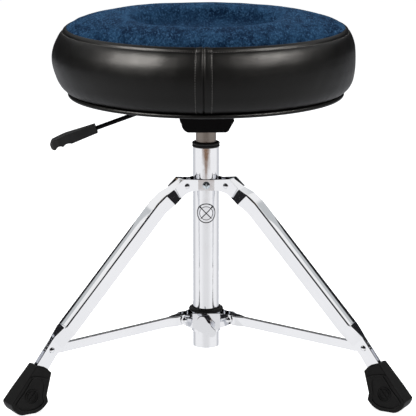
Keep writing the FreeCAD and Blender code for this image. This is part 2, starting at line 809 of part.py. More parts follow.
def strut():
    """Thin channel, open below, that flares to fit between the lower hub's ears."""
    along, normal = toward(STRUT_PIVOT, BRACE_PIVOT)
    length = math.dist(STRUT_PIVOT, BRACE_PIVOT)
    start = STRUT_PIVOT
    below = -STRUT_DEPTH_BELOW
    steps = [
        at(start, along, normal, length, STRUT_EYE_R),
        (at(start, along, normal, length + STRUT_EYE_R, 0), at(start, along, normal, length, -STRUT_EYE_R)),
        at(start, along, normal, length - 14, below),
        at(start, along, normal, 0, below),
        (at(start, along, normal, -6.7, -0.5), at(start, along, normal, 0, STRUT_EYE_R)),
    ]
    face = outline(at(start, along, normal, 0, STRUT_EYE_R), steps)
    outer = [(-12, STRUT_FLARE_HALF), (10, STRUT_FLARE_HALF), (21, STRUT_HALF), (length + 12, STRUT_HALF)]
    inner = [(distance, half - STRUT_SHEET) for distance, half in outer]
    body = slab(face, -WIDE, WIDE).common(widths(start, along, normal, outer))
    top = (STRUT_EYE_R - 0.05, STRUT_EYE_R + 0.05)
    folds = fold_edges(body, (start, along, normal), (-12, length + 12), top, STRUT_HALF - 0.05)
    body = body.makeFillet(STRUT_FOLD_R, folds)
    under = outline(at(start, along, normal, -14, STRUT_EYE_R - STRUT_SHEET), [
        at(start, along, normal, length + 14, STRUT_EYE_R - STRUT_SHEET),
        at(start, along, normal, length + 14, -20),
        at(start, along, normal, -14, -20),
    ])
    body = body.cut(slab(under, -WIDE, WIDE).common(widths(start, along, normal, inner)))
    for point in (STRUT_PIVOT, BRACE_PIVOT):
        body = body.cut(cross_pin(RIVET_HOLE_R, point, -WIDE, WIDE))
    return body


# ---------------------------------------------------------------- assembly

def main():
    os.makedirs("parts", exist_ok=True)
    save("column_tube", column_tube())
    save("guide_bushing", guide_bushing())
    save("column_bottom_plug", column_bottom_plug())
    save("thrust_washer", thrust_washer())
    save("piston_rod", piston_rod())
    save("rod_retaining_clip", rod_retaining_clip())
    save("piston", piston())
    save("gas_cylinder", gas_cylinder())
    save("cylinder_end_guide", cylinder_end_guide())
    save("mechanism_case", mechanism_case())
    save("taper_socket", taper_socket())
    save("lever_bracket", lever_bracket())
    save("lever_pivot_pin", lever_pivot_pin())
    save("lever_rod", lever_rod())
    save("lever_grip", lever_grip())
    save("release_button", release_button())
    save("mounting_plate", mounting_plate())
    save("mount_bolts", mount_bolts())
    save("t_nuts", t_nuts())
    save("seat_board", seat_board())
    save("seat_foam", seat_foam())
    save("seat_side_cover", cover(SIDE_POINTS, inner_side()))
    save("seat_top_cover", cover(TOP_POINTS, inner_top()))
    save("seat_piping", seat_piping())
    save("dust_cover", dust_cover())
    upper_bores = on_legs(cross_pin(RIVET_R, LEG_PIVOT, -WIDE, WIDE))
    save_hub_plates("upper_hub_plate", upper_hub_plate(), [upper_bores, hub_screw_holes()])
    save("upper_hub_screws", hub_screws())
    save("leg_pivot_rivets", on_legs(through_rivet(LEG_PIVOT, UPPER_EAR_OFFSET + HUB_SHEET)))
    lower_bores = on_legs(cross_pin(RIVET_R, STRUT_PIVOT, -WIDE, WIDE))
    save_hub_plates("lower_hub_plate", lower_hub_plate(), [lower_bores, shoe_hole()])
    save("lower_hub_sleeve", sleeve())
    save("hub_rubber_ring", hub_rubber_ring())
    save("strut_hub_rivets", on_legs(through_rivet(STRUT_PIVOT, LOWER_EAR_OFFSET + HUB_SHEET)))
    save("wing_bolt_boss", wing_bolt_boss())
    save("lock_shoe", lock_shoe())
    save("wing_bolt", wing_bolt())
    leg_shape = leg()
    foot_shape = foot(leg_shape)
    strut_shape = strut()
    for side, azimuth in LEG_AZIMUTHS.items():
        save("leg_" + side, turned(leg_shape, azimuth))
        save("foot_" + side, turned(foot_shape, azimuth))
        save("brace_rivets_" + side, turned(brace_rivets(), azimuth))
        save("strut_" + side, turned(strut_shape, azimuth))


main()
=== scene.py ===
import json
import math

import bmesh
import bpy
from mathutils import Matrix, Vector, noise
from mathutils.bvhtree import BVHTree


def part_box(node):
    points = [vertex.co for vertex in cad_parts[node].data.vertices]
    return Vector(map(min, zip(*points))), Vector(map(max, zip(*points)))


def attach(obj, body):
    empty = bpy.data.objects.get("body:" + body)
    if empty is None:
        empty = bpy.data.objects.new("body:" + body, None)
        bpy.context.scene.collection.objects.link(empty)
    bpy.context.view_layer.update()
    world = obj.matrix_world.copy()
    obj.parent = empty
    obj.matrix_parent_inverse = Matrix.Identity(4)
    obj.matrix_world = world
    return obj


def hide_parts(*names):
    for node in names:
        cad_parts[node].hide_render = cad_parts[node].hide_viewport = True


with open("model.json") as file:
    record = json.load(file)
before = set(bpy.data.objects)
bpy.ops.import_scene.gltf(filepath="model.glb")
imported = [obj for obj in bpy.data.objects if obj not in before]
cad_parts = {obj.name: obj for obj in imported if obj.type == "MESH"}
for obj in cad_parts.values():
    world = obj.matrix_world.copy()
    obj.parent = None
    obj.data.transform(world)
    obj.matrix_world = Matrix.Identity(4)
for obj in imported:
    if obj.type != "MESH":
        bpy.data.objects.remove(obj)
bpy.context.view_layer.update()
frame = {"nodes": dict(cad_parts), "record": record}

MM = 0.001
BODY_OF = {node: body for body, nodes in frame["record"]["behaviour"]["bodies"].items() for node in nodes}
SLOT_OF = {part["node"]: part["material_slot"] for part in frame["record"]["subparts"]}
LEG_AZIMUTHS = {"left": 210, "right": 330, "rear": 90}


# ---------------------------------------------------------------- camera, floor and light

CAMERA_ELEVATION = 13.0
CAMERA_YAW = 1.2                 # towards -X from straight ahead
CAMERA_DISTANCE = 2.935
CAMERA_TARGET = Vector((0.0028, 0, 0.246))
CAMERA_LENS = 184.0
AMBIENT = 0.22
FLOOR_GLOW = 0.80
SEAT_MIDDLE = (0, 0, 0.45)


def add_camera():
    tilt = math.radians(CAMERA_ELEVATION)
    yaw = math.radians(CAMERA_YAW)
    camera = bpy.data.objects.new("camera", bpy.data.cameras.new("camera"))
    camera.data.lens = CAMERA_LENS
    camera.data.sensor_width = 36
    camera.data.clip_end = 50
    back = Vector((-math.sin(yaw) * math.cos(tilt), -math.cos(yaw) * math.cos(tilt), math.sin(tilt)))
    camera.location = CAMERA_TARGET + back * CAMERA_DISTANCE
    camera.rotation_euler = (math.pi / 2 - tilt, 0, -yaw)
    bpy.context.scene.collection.objects.link(camera)
    bpy.context.scene.camera = camera


def add_area_light(name, place, aim, size, power, colour=(1, 1, 1)):
    light = bpy.data.lights.new(name, "AREA")
    light.shape = "RECTANGLE"
    light.size, light.size_y = size
    light.energy = power
    light.color = colour
    lamp = bpy.data.objects.new(name, light)
    lamp.location = place
    lamp.rotation_euler = (Vector(aim) - Vector(place)).to_track_quat("-Z", "Y").to_euler()
    lamp.visible_glossy = False      # the chrome mirrors the world alone
    bpy.context.scene.collection.objects.link(lamp)
    return lamp


def add_softbox(name, place, aim, size, power, receivers):
    """A light that only shows as a reflection, and only in the pieces named."""
    lamp = add_area_light(name, place, aim, size, power, (1, 0.96, 0.91))
    lamp.visible_glossy = True
    lamp.visible_diffuse = False
    lit = bpy.data.collections.new(name + "_receivers")
    for receiver in receivers:
        lit.objects.link(bpy.data.objects[receiver])
    lamp.light_linking.receiver_collection = lit


def add_world():
    """What chrome mirrors: a pale sweep below, a dark room above it and a bright panel behind."""
    world = bpy.data.worlds.new("studio")
    bpy.context.scene.world = world
    world.use_nodes = True
    tree = world.node_tree
    tree.nodes.clear()

    def maths(operation, first, second=0.0):
        node = tree.nodes.new("ShaderNodeMath")
        node.operation = operation
        for value, socket in ((first, node.inputs[0]), (second, node.inputs[1])):
            if isinstance(value, (int, float)):
                socket.default_value = value
            else:
                tree.links.new(value, socket)
        return node.outputs[0]

    def step(value, low, high):
        node = tree.nodes.new("ShaderNodeMapRange")
        node.interpolation_type = "SMOOTHSTEP"
        node.inputs["From Min"].default_value = low
        node.inputs["From Max"].default_value = high
        tree.links.new(value, node.inputs["Value"])
        return node.outputs[0]

    def blend(factor, first, second):
        node = tree.nodes.new("ShaderNodeMix")
        node.data_type = "RGBA"
        tree.links.new(factor, node.inputs["Factor"])
        for value, socket in ((first, node.inputs["A"]), (second, node.inputs["B"])):
            if isinstance(value, tuple):
                socket.default_value = (*value, 1)
            else:
                tree.links.new(value, socket)
        return node.outputs["Result"]

    coords = tree.nodes.new("ShaderNodeTexCoord")
    split = tree.nodes.new("ShaderNodeSeparateXYZ")
    tree.links.new(coords.outputs["Generated"], split.inputs[0])
    x, y, z = split.outputs
    flat = maths("SQRT", maths("ADD", maths("MULTIPLY", x, x), maths("MULTIPLY", y, y)))
    side = maths("DIVIDE", x, flat)
    back = maths("DIVIDE", y, flat)
    front_lobe = maths("ABSOLUTE", side)

    sweep = blend(step(front_lobe, 0.25, 0.75), (0.83, 0.83, 0.84), (0.97, 0.97, 0.98))
    sweep = blend(step(back, 0.15, 0.55), sweep, (0.64, 0.65, 0.68))
    boards_edge = maths("ADD", maths("MULTIPLY", front_lobe, 0.026), -0.2130)
    past_edge = maths("SUBTRACT", z, boards_edge)
    narrow = step(front_lobe, 0.66, 0.58)
    ahead = step(back, -0.5, -0.7)
    boards = maths("MULTIPLY", maths("MULTIPLY", step(past_edge, -0.001, 0.004), narrow), ahead)
    sweep = blend(boards, sweep, (0.20, 0.10, 0.045))

    panel = blend(step(z, 0.478, 0.492), (0.58, 0.60, 0.61), (0.98, 0.98, 0.98))
    behind = step(back, -0.30, -0.10)
    in_panel = maths("MULTIPLY", maths("MULTIPLY", step(z, 0.355, 0.375), step(z, 0.93, 0.86)), behind)
    room = blend(in_panel, (0.018, 0.018, 0.020), panel)
    seen = blend(step(z, -0.150, -0.134), sweep, room)

    mirrored = tree.nodes.new("ShaderNodeBackground")
    tree.links.new(seen, mirrored.inputs["Color"])
    ambient = tree.nodes.new("ShaderNodeBackground")
    ambient.inputs["Color"].default_value = (0.9, 0.95, 1, 1)
    ambient.inputs["Strength"].default_value = AMBIENT
    plain = tree.nodes.new("ShaderNodeBackground")
    plain.inputs["Color"].default_value = (1, 1, 1, 1)
    path = tree.nodes.new("ShaderNodeLightPath")
    lit = tree.nodes.new("ShaderNodeMixShader")
    tree.links.new(path.outputs["Is Glossy Ray"], lit.inputs[0])
    tree.links.new(ambient.outputs[0], lit.inputs[1])
    tree.links.new(mirrored.outputs[0], lit.inputs[2])
    either = tree.nodes.new("ShaderNodeMixShader")
    tree.links.new(path.outputs["Is Camera Ray"], either.inputs[0])
    tree.links.new(lit.outputs[0], either.inputs[1])
    tree.links.new(plain.outputs[0], either.inputs[2])
    output = tree.nodes.new("ShaderNodeOutputWorld")
    tree.links.new(either.outputs[0], output.inputs["Surface"])


def add_floor():
    """A white sweep that lies outside what the chrome mirrors; the world stands in for it there."""
    mesh = bpy.data.meshes.new("floor")
    half = 9.0
    mesh.from_pydata([(-half, -half, 0), (half, -half, 0), (half, half, 0), (-half, half, 0)], [], [(0, 1, 2, 3)])
    floor = bpy.data.objects.new("floor", mesh)
    bpy.context.scene.collection.objects.link(floor)
    floor.visible_glossy = False
    paint = bpy.data.materials.new("floor_paint")
    paint.use_nodes = True
    shader = paint.node_tree.nodes["Principled BSDF"]
    shader.inputs["Base Color"].default_value = (0.9, 0.9, 0.9, 1)
    shader.inputs["Roughness"].default_value = 0.9
    shader.inputs["Specular IOR Level"].default_value = 0.0
    shader.inputs["Emission Color"].default_value = (1, 1, 1, 1)
    shader.inputs["Emission Strength"].default_value = FLOOR_GLOW
    mesh.materials.append(paint)


# ---------------------------------------------------------------- materials

class Paint:
    """A Principled material with a few procedural building blocks, in object coordinates."""

    def __init__(self, name):
        self.material = bpy.data.materials.new(name)
        self.material.use_nodes = True
        self.tree = self.material.node_tree
        self.shader = self.tree.nodes["Principled BSDF"]
        self.coords = self.node("ShaderNodeTexCoord").outputs["Object"]

    def node(self, kind):
        return self.tree.nodes.new(kind)

    def link(self, source, target):
        self.tree.links.new(source, target)

    def set(self, **values):
        for name, value in values.items():
            self.shader.inputs[name.replace("_", " ")].default_value = value

    def stretched(self, scale):
        mapping = self.node("ShaderNodeMapping")
        mapping.inputs["Scale"].default_value = scale
        self.link(self.coords, mapping.inputs["Vector"])
        return mapping.outputs[0]

    def noise(self, scale, detail=3.0, rough=0.55, vector=None):
        tex = self.node("ShaderNodeTexNoise")
        tex.inputs["Scale"].default_value = scale
        tex.inputs["Detail"].default_value = detail
        tex.inputs["Roughness"].default_value = rough
        self.link(vector or self.coords, tex.inputs["Vector"])
        return tex.outputs["Fac"]

    def cells(self, scale, feature="DISTANCE_TO_EDGE", vector=None):
        tex = self.node("ShaderNodeTexVoronoi")
        tex.feature = feature
        tex.inputs["Scale"].default_value = scale
        self.link(vector or self.coords, tex.inputs["Vector"])
        return tex.outputs["Distance"]

    def spread(self, value, low, high, start=0.0, end=1.0):
        """Maps value from start..end to low..high."""
        tex = self.node("ShaderNodeMapRange")
        tex.inputs["From Min"].default_value = start
        tex.inputs["From Max"].default_value = end
        tex.inputs["To Min"].default_value = low
        tex.inputs["To Max"].default_value = high
        self.link(value, tex.inputs["Value"])
        return tex.outputs[0]

    def blend(self, factor, first, second):
        mix = self.node("ShaderNodeMix")
        mix.data_type = "RGBA"
        self.link(factor, mix.inputs["Factor"])
        for value, socket in ((first, mix.inputs["A"]), (second, mix.inputs["B"])):
            if isinstance(value, tuple):
                socket.default_value = (*value, 1)
            else:
                self.link(value, socket)
        return mix.outputs["Result"]

    def add(self, first, second, operation="ADD"):
        maths = self.node("ShaderNodeMath")
        maths.operation = operation
        for value, socket in ((first, maths.inputs[0]), (second, maths.inputs[1])):
            if isinstance(value, (int, float)):
                socket.default_value = value
            else:
                self.link(value, socket)
        return maths.outputs[0]

    def off_axis(self):
        """Distance from the upright axis."""
        flat = self.node("ShaderNodeVectorMath")
        flat.operation = "MULTIPLY"
        flat.inputs[1].default_value = (1, 1, 0)
        self.link(self.coords, flat.inputs[0])
        length = self.node("ShaderNodeVectorMath")
        length.operation = "LENGTH"
        self.link(flat.outputs[0], length.inputs[0])
        return length.outputs["Value"]

    def edge_wear(self, width=0.0008):
        """1 on convex edges and 0 elsewhere, from the bevelled normal."""
        bevel = self.node("ShaderNodeBevel")
        bevel.samples = 4
        bevel.inputs["Radius"].default_value = width
        geometry = self.node("ShaderNodeNewGeometry")
        dot = self.node("ShaderNodeVectorMath")
        dot.operation = "DOT_PRODUCT"
        self.link(bevel.outputs[0], dot.inputs[0])
        self.link(geometry.outputs["Normal"], dot.inputs[1])
        return self.spread(dot.outputs["Value"], 1.0, 0.0, 0.75, 1.0)

    def colour(self, value):
        self.link(value, self.shader.inputs["Base Color"])

    def roughness(self, value):
        self.link(value, self.shader.inputs["Roughness"])

    def bump(self, height, depth, strength=1.0):
        bump = self.node("ShaderNodeBump")
        bump.inputs["Distance"].default_value = depth
        bump.inputs["Strength"].default_value = strength
        self.link(height, bump.inputs["Height"])
        self.link(bump.outputs[0], self.shader.inputs["Normal"])
        return bump


def chrome_plate():
    paint = Paint("chrome_plate")
    paint.set(Metallic=1.0)
    haze = paint.noise(14, 4)
    smudge = paint.noise(55, 5, 0.65)
    paint.colour(paint.blend(haze, (0.80, 0.81, 0.83), (0.90, 0.90, 0.92)))
    paint.roughness(paint.spread(smudge, 0.03, 0.11, 0.35, 0.75))
    paint.bump(paint.noise(30, 2), 0.00008, 0.2)
    return paint.material


def satin_steel():
    """Ground cylinder: fine rings round the axis, brown-grey."""
    paint = Paint("satin_steel")
    paint.set(Metallic=1.0)
    rings = paint.noise(1, 4, 0.6, paint.stretched((20, 20, 3000)))
    cloud = paint.noise(40, 3)
    base = paint.blend(cloud, (0.30, 0.255, 0.225), (0.42, 0.37, 0.33))
    paint.colour(base)
    paint.roughness(paint.spread(rings, 0.26, 0.46, 0.3, 0.7))
    paint.bump(rings, 0.00004, 0.5)
    return paint.material


def zinc_steel():
    paint = Paint("zinc_steel")
    paint.set(Metallic=1.0)
    cloud = paint.noise(160, 4)
    paint.colour(paint.blend(cloud, (0.52, 0.62, 0.70), (0.78, 0.82, 0.84)))
    paint.roughness(paint.spread(paint.noise(400, 3), 0.16, 0.34))
    paint.bump(paint.noise(900, 2), 0.00003, 0.4)
    return paint.material


def black_steel():
    paint = Paint("black_steel")
    wear = paint.edge_wear(0.0007)
    cloud = paint.noise(30, 4)
    base = paint.blend(cloud, (0.0012, 0.0012, 0.0013), (0.0035, 0.0035, 0.0038))
    paint.colour(paint.blend(paint.add(wear, 0.25, "MULTIPLY"), base, (0.05, 0.05, 0.05)))
    paint.roughness(paint.spread(paint.noise(220, 3), 0.16, 0.30))
    paint.bump(paint.noise(1300, 2), 0.00004, 0.4)
    paint.set(Specular_IOR_Level=0.07)
    return paint.material


def black_nylon():
    paint = Paint("black_nylon")
    cloud = paint.noise(45, 3)
    paint.colour(paint.blend(cloud, (0.012, 0.012, 0.012), (0.026, 0.026, 0.027)))
    paint.roughness(paint.spread(paint.noise(900, 3), 0.38, 0.56))
    paint.bump(paint.cells(1900, "F1"), 0.00005, 0.55)
    paint.set(Specular_IOR_Level=0.14)
    return paint.material


def black_rubber():
    paint = Paint("black_rubber")
    dust = paint.noise(60, 5, 0.65)
    paint.colour(paint.blend(dust, (0.0045, 0.0045, 0.0045), (0.013, 0.0125, 0.012)))
    paint.roughness(paint.spread(paint.noise(500, 4), 0.42, 0.60))
    paint.bump(paint.noise(1500, 4, 0.7), 0.00008, 0.6)
    paint.set(Specular_IOR_Level=0.15)
    return paint.material


def black_leather():
    """Fine pebble grain of about a millimetre, with softer creases between patches of cells."""
    paint = Paint("black_leather")
    warp = paint.node("ShaderNodeVectorMath")
    warp.operation = "MULTIPLY_ADD"
    wobble = paint.node("ShaderNodeTexNoise")
    wobble.inputs["Scale"].default_value = 260
    paint.link(paint.coords, wobble.inputs["Vector"])
    paint.link(wobble.outputs["Color"], warp.inputs[0])
    warp.inputs[1].default_value = (0.0012, 0.0012, 0.0012)
    paint.link(paint.coords, warp.inputs[2])
    grain = paint.cells(760, vector=warp.outputs[0])
    pebble = paint.spread(grain, 0.0, 1.0, 0.0, 0.22)
    fine = paint.noise(2400, 3)
    height = paint.add(pebble, paint.add(fine, 0.35, "MULTIPLY"))
    tone = paint.noise(18, 4)
    base = paint.blend(tone, (0.0020, 0.0019, 0.0018), (0.0042, 0.0040, 0.0038))
    paint.colour(paint.blend(paint.spread(pebble, 0.6, 0.0), base, (0.002, 0.002, 0.002)))
    paint.roughness(paint.spread(paint.noise(40, 3), 0.35, 0.41, 0.3, 0.7))
    paint.bump(height, 0.00009, 0.42)
    paint.set(Specular_IOR_Level=0.19)
    return paint.material


def thread():
    paint = Paint("black_thread")
    paint.colour(paint.blend(paint.noise(900, 2), (0.050, 0.049, 0.047), (0.105, 0.102, 0.098)))
    paint.set(Roughness=0.62)
    paint.bump(paint.noise(2600, 2), 0.00008, 0.6)
    return paint.material


DISH_LIP_R = 0.107


def blue_velour():
    """Brushed pile: mottled where the nap lies different ways, with painted shade in the dish and a painted
    highlight on its lip.
    """
    paint = Paint("blue_velour")
    patches = paint.noise(1, 4, 0.6, paint.stretched((78, 26, 60)))
    brushed = paint.noise(1, 5, 0.65, paint.stretched((60, 30, 60)))
    pile = paint.noise(1, 3, 0.7, paint.stretched((430, 120, 380)))
    lay = paint.add(paint.add(patches, 0.6, "MULTIPLY"), paint.add(brushed, 0.4, "MULTIPLY"))
    dark_or_light = paint.spread(lay, 0.0, 1.0, 0.42, 0.58)
    deep = paint.blend(dark_or_light, (0.0036, 0.0165, 0.0440), (0.0185, 0.0580, 0.1220))
    speck = paint.spread(pile, 0.0, 1.0, 0.52, 0.74)
    pit = paint.spread(pile, 1.0, 0.0, 0.36, 0.48)
    fibre = paint.blend(speck, deep, (0.062, 0.145, 0.270))
    pile_tone = paint.blend(paint.add(pit, 0.6, "MULTIPLY"), fibre, (0.0008, 0.0045, 0.0150))
    radius = paint.off_axis()
    from_lip = paint.add(paint.add(radius, DISH_LIP_R, "SUBTRACT"), 0.0, "ABSOLUTE")
    # painted highlight: the velour is made lighter along the dish's lip
    with_lip_highlight = paint.blend(paint.spread(from_lip, 0.28, 0.0, 0.0, 0.012), pile_tone, (0.0240, 0.0700, 0.1450))
    # painted shade: the velour is made darker inside the dish
    dish_shade = paint.spread(radius, 0.42, 0.0, 0.084, 0.101)
    paint.colour(paint.blend(dish_shade, with_lip_highlight, (0.0026, 0.0125, 0.0330)))
    paint.set(Roughness=0.92, Specular_IOR_Level=0.03, Sheen_Weight=0.04, Sheen_Roughness=0.4)
    paint.set(Sheen_Tint=(0.45, 0.60, 0.90, 1))
    height = paint.add(paint.add(pile, 0.6, "MULTIPLY"), paint.add(brushed, 0.9, "MULTIPLY"))
    paint.bump(height, 0.0012, 0.85)
    return paint.material


def plywood():
    paint = Paint("plywood")
    grain = paint.noise(1, 5, 0.6, paint.stretched((14, 160, 700)))
    paint.colour(paint.blend(grain, (0.36, 0.22, 0.11), (0.62, 0.45, 0.27)))
    paint.roughness(paint.spread(grain, 0.55, 0.75))
    paint.bump(grain, 0.0002, 0.5)
    return paint.material


def foam():
    paint = Paint("seat_foam")
    cells = paint.cells(700, "F1")
    paint.colour(paint.blend(cells, (0.52, 0.47, 0.33), (0.74, 0.70, 0.56)))
    paint.set(Roughness=0.9)
    paint.bump(cells, 0.0004, 0.8)
    return paint.material


def black_cloth():
    """Non-woven cloth: pressed dots in a felted ground."""
    paint = Paint("black_cloth")
    dots = paint.cells(420, "F1")
    fibres = paint.noise(1500, 4, 0.7)
    paint.colour(paint.blend(fibres, (0.010, 0.010, 0.010), (0.035, 0.035, 0.036)))
    paint.set(Roughness=0.9)
    paint.bump(paint.add(dots, paint.add(fibres, 0.4, "MULTIPLY")), 0.0003, 0.7)
    return paint.material


def mark_enamel():
    paint = Paint("mark_enamel")
    paint.colour(paint.blend(paint.noise(600, 3), (0.008, 0.008, 0.009), (0.030, 0.030, 0.032)))
    paint.set(Roughness=0.4)
    paint.bump(paint.noise(1800, 2), 0.00003, 0.4)
    return paint.material


MATERIALS = {
    "chrome_plate": chrome_plate(),
    "satin_steel": satin_steel(),
    "zinc_steel": zinc_steel(),
    "black_steel": black_steel(),
    "black_nylon": black_nylon(),
    "black_rubber": black_rubber(),
    "black_leather": black_leather(),
    "blue_velour": blue_velour(),
    "plywood": plywood(),
    "seat_foam": foam(),
    "black_cloth": black_cloth(),
    "thread": thread(),
    "mark": mark_enamel(),
}


def paint_cad_nodes():
    for name, node in frame["nodes"].items():
        node.data.materials.clear()
        node.data.materials.append(MATERIALS[SLOT_OF[name]])


# ---------------------------------------------------------------- mesh helpers

WEB_CROWN = 0.0007
CROWN_FADE = 0.040               # length over which the crown begins, below the knee
CROWN_CUTS = 4                   # rows of faces in that length
WEB_STRIPS = 6                   # flat strips from the middle of a leg's web to each fold
BEAD_SUNK = 0.00012
FLAT_AREA = 3e-5                 # a face larger than this keeps a sharp border with another such face
FOLD_ANGLE = 4.0


def finish_piece(piece, body, slot, material=None, smooth=True):
    """Paints a piece and puts it on its body."""
    piece.data.materials.clear()
    piece.data.materials.append(MATERIALS[material or slot])
    if smooth:
        for face in piece.data.polygons:
            face.use_smooth = True
    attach(piece, body)
    return piece


def new_piece(name, verts, faces):
    mesh = bpy.data.meshes.new(name)
    mesh.from_pydata([tuple(v) for v in verts], [], faces)
    mesh.update()
    piece = bpy.data.objects.new(name, mesh)
    bpy.context.scene.collection.objects.link(piece)
    return piece


def apply_modifiers(piece):
    bpy.context.view_layer.update()
    done = piece.evaluated_get(bpy.context.evaluated_depsgraph_get())
    mesh = bpy.data.meshes.new_from_object(done)
    piece.modifiers.clear()
    piece.data = mesh


def dress(node, width, segments=3, angle=28, shape=None):
    """Replaces a sharp-edged CAD node with the same form, its edges rounded like folded or moulded ones."""
    mesh = frame["nodes"][node].data.copy()
    piece = bpy.data.objects.new(node + "_finish", mesh)
    bpy.context.scene.collection.objects.link(piece)
    form = bmesh.new()
    form.from_mesh(mesh)
    bmesh.ops.remove_doubles(form, verts=form.verts, dist=2e-6)
    bmesh.ops.dissolve_limit(form, angle_limit=math.radians(0.6), verts=form.verts, edges=form.edges)
    if shape:
        shape(form)
    for edge in form.edges:
        flats = len(edge.link_faces) == 2 and min(face.calc_area() for face in edge.link_faces) > FLAT_AREA
        if flats and edge.calc_face_angle() > math.radians(FOLD_ANGLE):
            edge.smooth = False
    form.to_mesh(mesh)
    form.free()
    if mesh.attributes.get("custom_normal"):
        mesh.attributes.remove(mesh.attributes["custom_normal"])
    bevel = piece.modifiers.new("round", "BEVEL")
    bevel.width = width
    bevel.segments = segments
    bevel.limit_method = "ANGLE"
    bevel.angle_limit = math.radians(angle)
    bevel.use_clamp_overlap = True
    bevel.harden_normals = True
    weights = piece.modifiers.new("flats", "WEIGHTED_NORMAL")
    weights.weight = 80
    weights.keep_sharp = True
    for face in mesh.polygons:
        face.use_smooth = True
    apply_modifiers(piece)
    finish_piece(piece, BODY_OF[node], SLOT_OF[node], smooth=False)
    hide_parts(node)
    return piece


def crowned(azimuth):
    """Arches a leg's web a little, as a press leaves it, so that it catches two tones with a dark far edge."""
    lateral = Vector((-math.sin(azimuth), math.cos(azimuth), 0))

    def shape(form):
        form.normal_update()
        upper = [face for face in form.faces if face.normal.z > 0.3 and abs(face.normal.dot(lateral)) < 0.1]
        web = max(upper, key=lambda face: face.calc_area())
        normal = web.normal.copy()
        level = web.calc_center_median().dot(normal)
        half = max(abs(vert.co.dot(lateral)) for vert in web.verts)
        down = lateral.cross(normal)
        down *= -1 if down.z > 0 else 1
        top = min(vert.co.dot(down) for vert in web.verts)

        def on_web(face):
            centre = face.calc_center_median()
            return face.normal.dot(normal) > 0.9999 and abs(centre.dot(normal) - level) < 0.0004

        for i in range(1 - WEB_STRIPS, WEB_STRIPS):
            cut = [face for face in form.faces if on_web(face)]
            edges = {edge for face in cut for edge in face.edges}
            verts = {vert for face in cut for vert in face.verts}
            place = lateral * (half * i / WEB_STRIPS)
            bmesh.ops.bisect_plane(form, geom=[*verts, *edges, *cut], dist=1e-6, plane_co=place, plane_no=lateral)
            form.normal_update()
        for i in range(1, CROWN_CUTS + 1):
            # Through the whole leg, so that the web and the folds beside it keep their shares of the shading.
            everything = [*form.verts, *form.edges, *form.faces]
            place = down * (top + CROWN_FADE * i / CROWN_CUTS)
            bmesh.ops.bisect_plane(form, geom=everything, dist=1e-6, plane_co=place, plane_no=down)
            form.normal_update()
        strips = {vert for face in form.faces if on_web(face) for vert in face.verts}
        for vert in strips:
            aside = min(1.0, abs(vert.co.dot(lateral)) / half)
            begun = min(1.0, max(0.0, (vert.co.dot(down) - top) / CROWN_FADE))
            vert.co += normal * (WEB_CROWN * (1 - aside * aside) * begun * begun * (3 - 2 * begun))

    return shape


def bead(verts, faces, path, width, height, closed):
    """A raised line along (place, outward) pairs, half oval in section and sunk a little at its edges."""
    sides = 7
    count = len(path)
    base = len(verts)
    for i, (place, out) in enumerate(path):
        ahead = path[(i + 1) % count][0] if closed or i < count - 1 else place
        behind = path[i - 1][0] if closed or i > 0 else place
        side = (ahead - behind).cross(out).normalized()
        end = 1.0 if closed or 0 < i < count - 1 else 0.35
        for k in range(sides):
            a = math.pi * k / (sides - 1)
            verts.append(place + side * (math.cos(a) * width / 2 * end)
                         + out * (math.sin(a) * height * end - BEAD_SUNK))
    spans = count if closed else count - 1
    for i in range(spans):
        j = (i + 1) % count
        for k in range(sides):
            n = (k + 1) % sides
            faces.append((base + i * sides + k, base + i * sides + n, base + j * sides + n, base + j * sides + k))
    if not closed:
        faces.append(tuple(base + k for k in range(sides))[::-1])
        faces.append(tuple(base + (count - 1) * sides + k for k in range(sides)))


def sticks_in_ring(radius):
    """A plain ornament, as lines with their widths as shares of the radius: two rings and two crossed sticks."""
    ring = [(radius * math.cos(t), radius * math.sin(t)) for t in [math.tau * i / 64 for i in range(64)]]
    inner = [(0.70 * across, 0.70 * up) for across, up in ring]
    lines = [(ring, 0.13, True), (inner, 0.08, True)]
    for lean in (-1, 1):
        reach = 0.62 * radius
        stick = [(lean * reach * t, reach * t) for t in [i / 8 - 1 for i in range(17)]]
        tip = [(lean * reach * t, reach * t) for t in [0.86 + 0.035 * i for i in range(9)]]
        lines += [(stick, 0.12, False), (tip, 0.22, False)]
    return lines


def catmull(points, steps):
    """A smooth line through (r, z) points, with steps spans between each pair."""
    padded = [points[0]] + list(points) + [points[-1]]
    line = []
    for i in range(1, len(padded) - 2):
        p0, p1, p2, p3 = (Vector(padded[i + k]) for k in (-1, 0, 1, 2))
        for k in range(steps):
            t = k / steps
            line.append(0.5 * (2 * p1 + (p2 - p0) * t + (2 * p0 - 5 * p1 + 4 * p2 - p3) * t * t
                               + (3 * p1 - p0 - 3 * p2 + p3) * t ** 3))
    line.append(Vector(padded[-2]))
    return line


def evenly(line, step):
    """The same line with points a fixed step apart."""
    out = [line[0].copy()]
    left = step
    for a, b in zip(line, line[1:]):
        span = (b - a).length
        along = 0.0
        while span - along >= left:
            along += left
            out.append(a.lerp(b, along / span))
            left = step
        left -= span - along
    if (out[-1] - line[-1]).length > step * 0.3:
        out.append(line[-1].copy())
    else:
        out[-1] = line[-1].copy()
    return out


def bell(distance, width):
    return math.exp(-(distance / width) ** 2)


# ---------------------------------------------------------------- seat

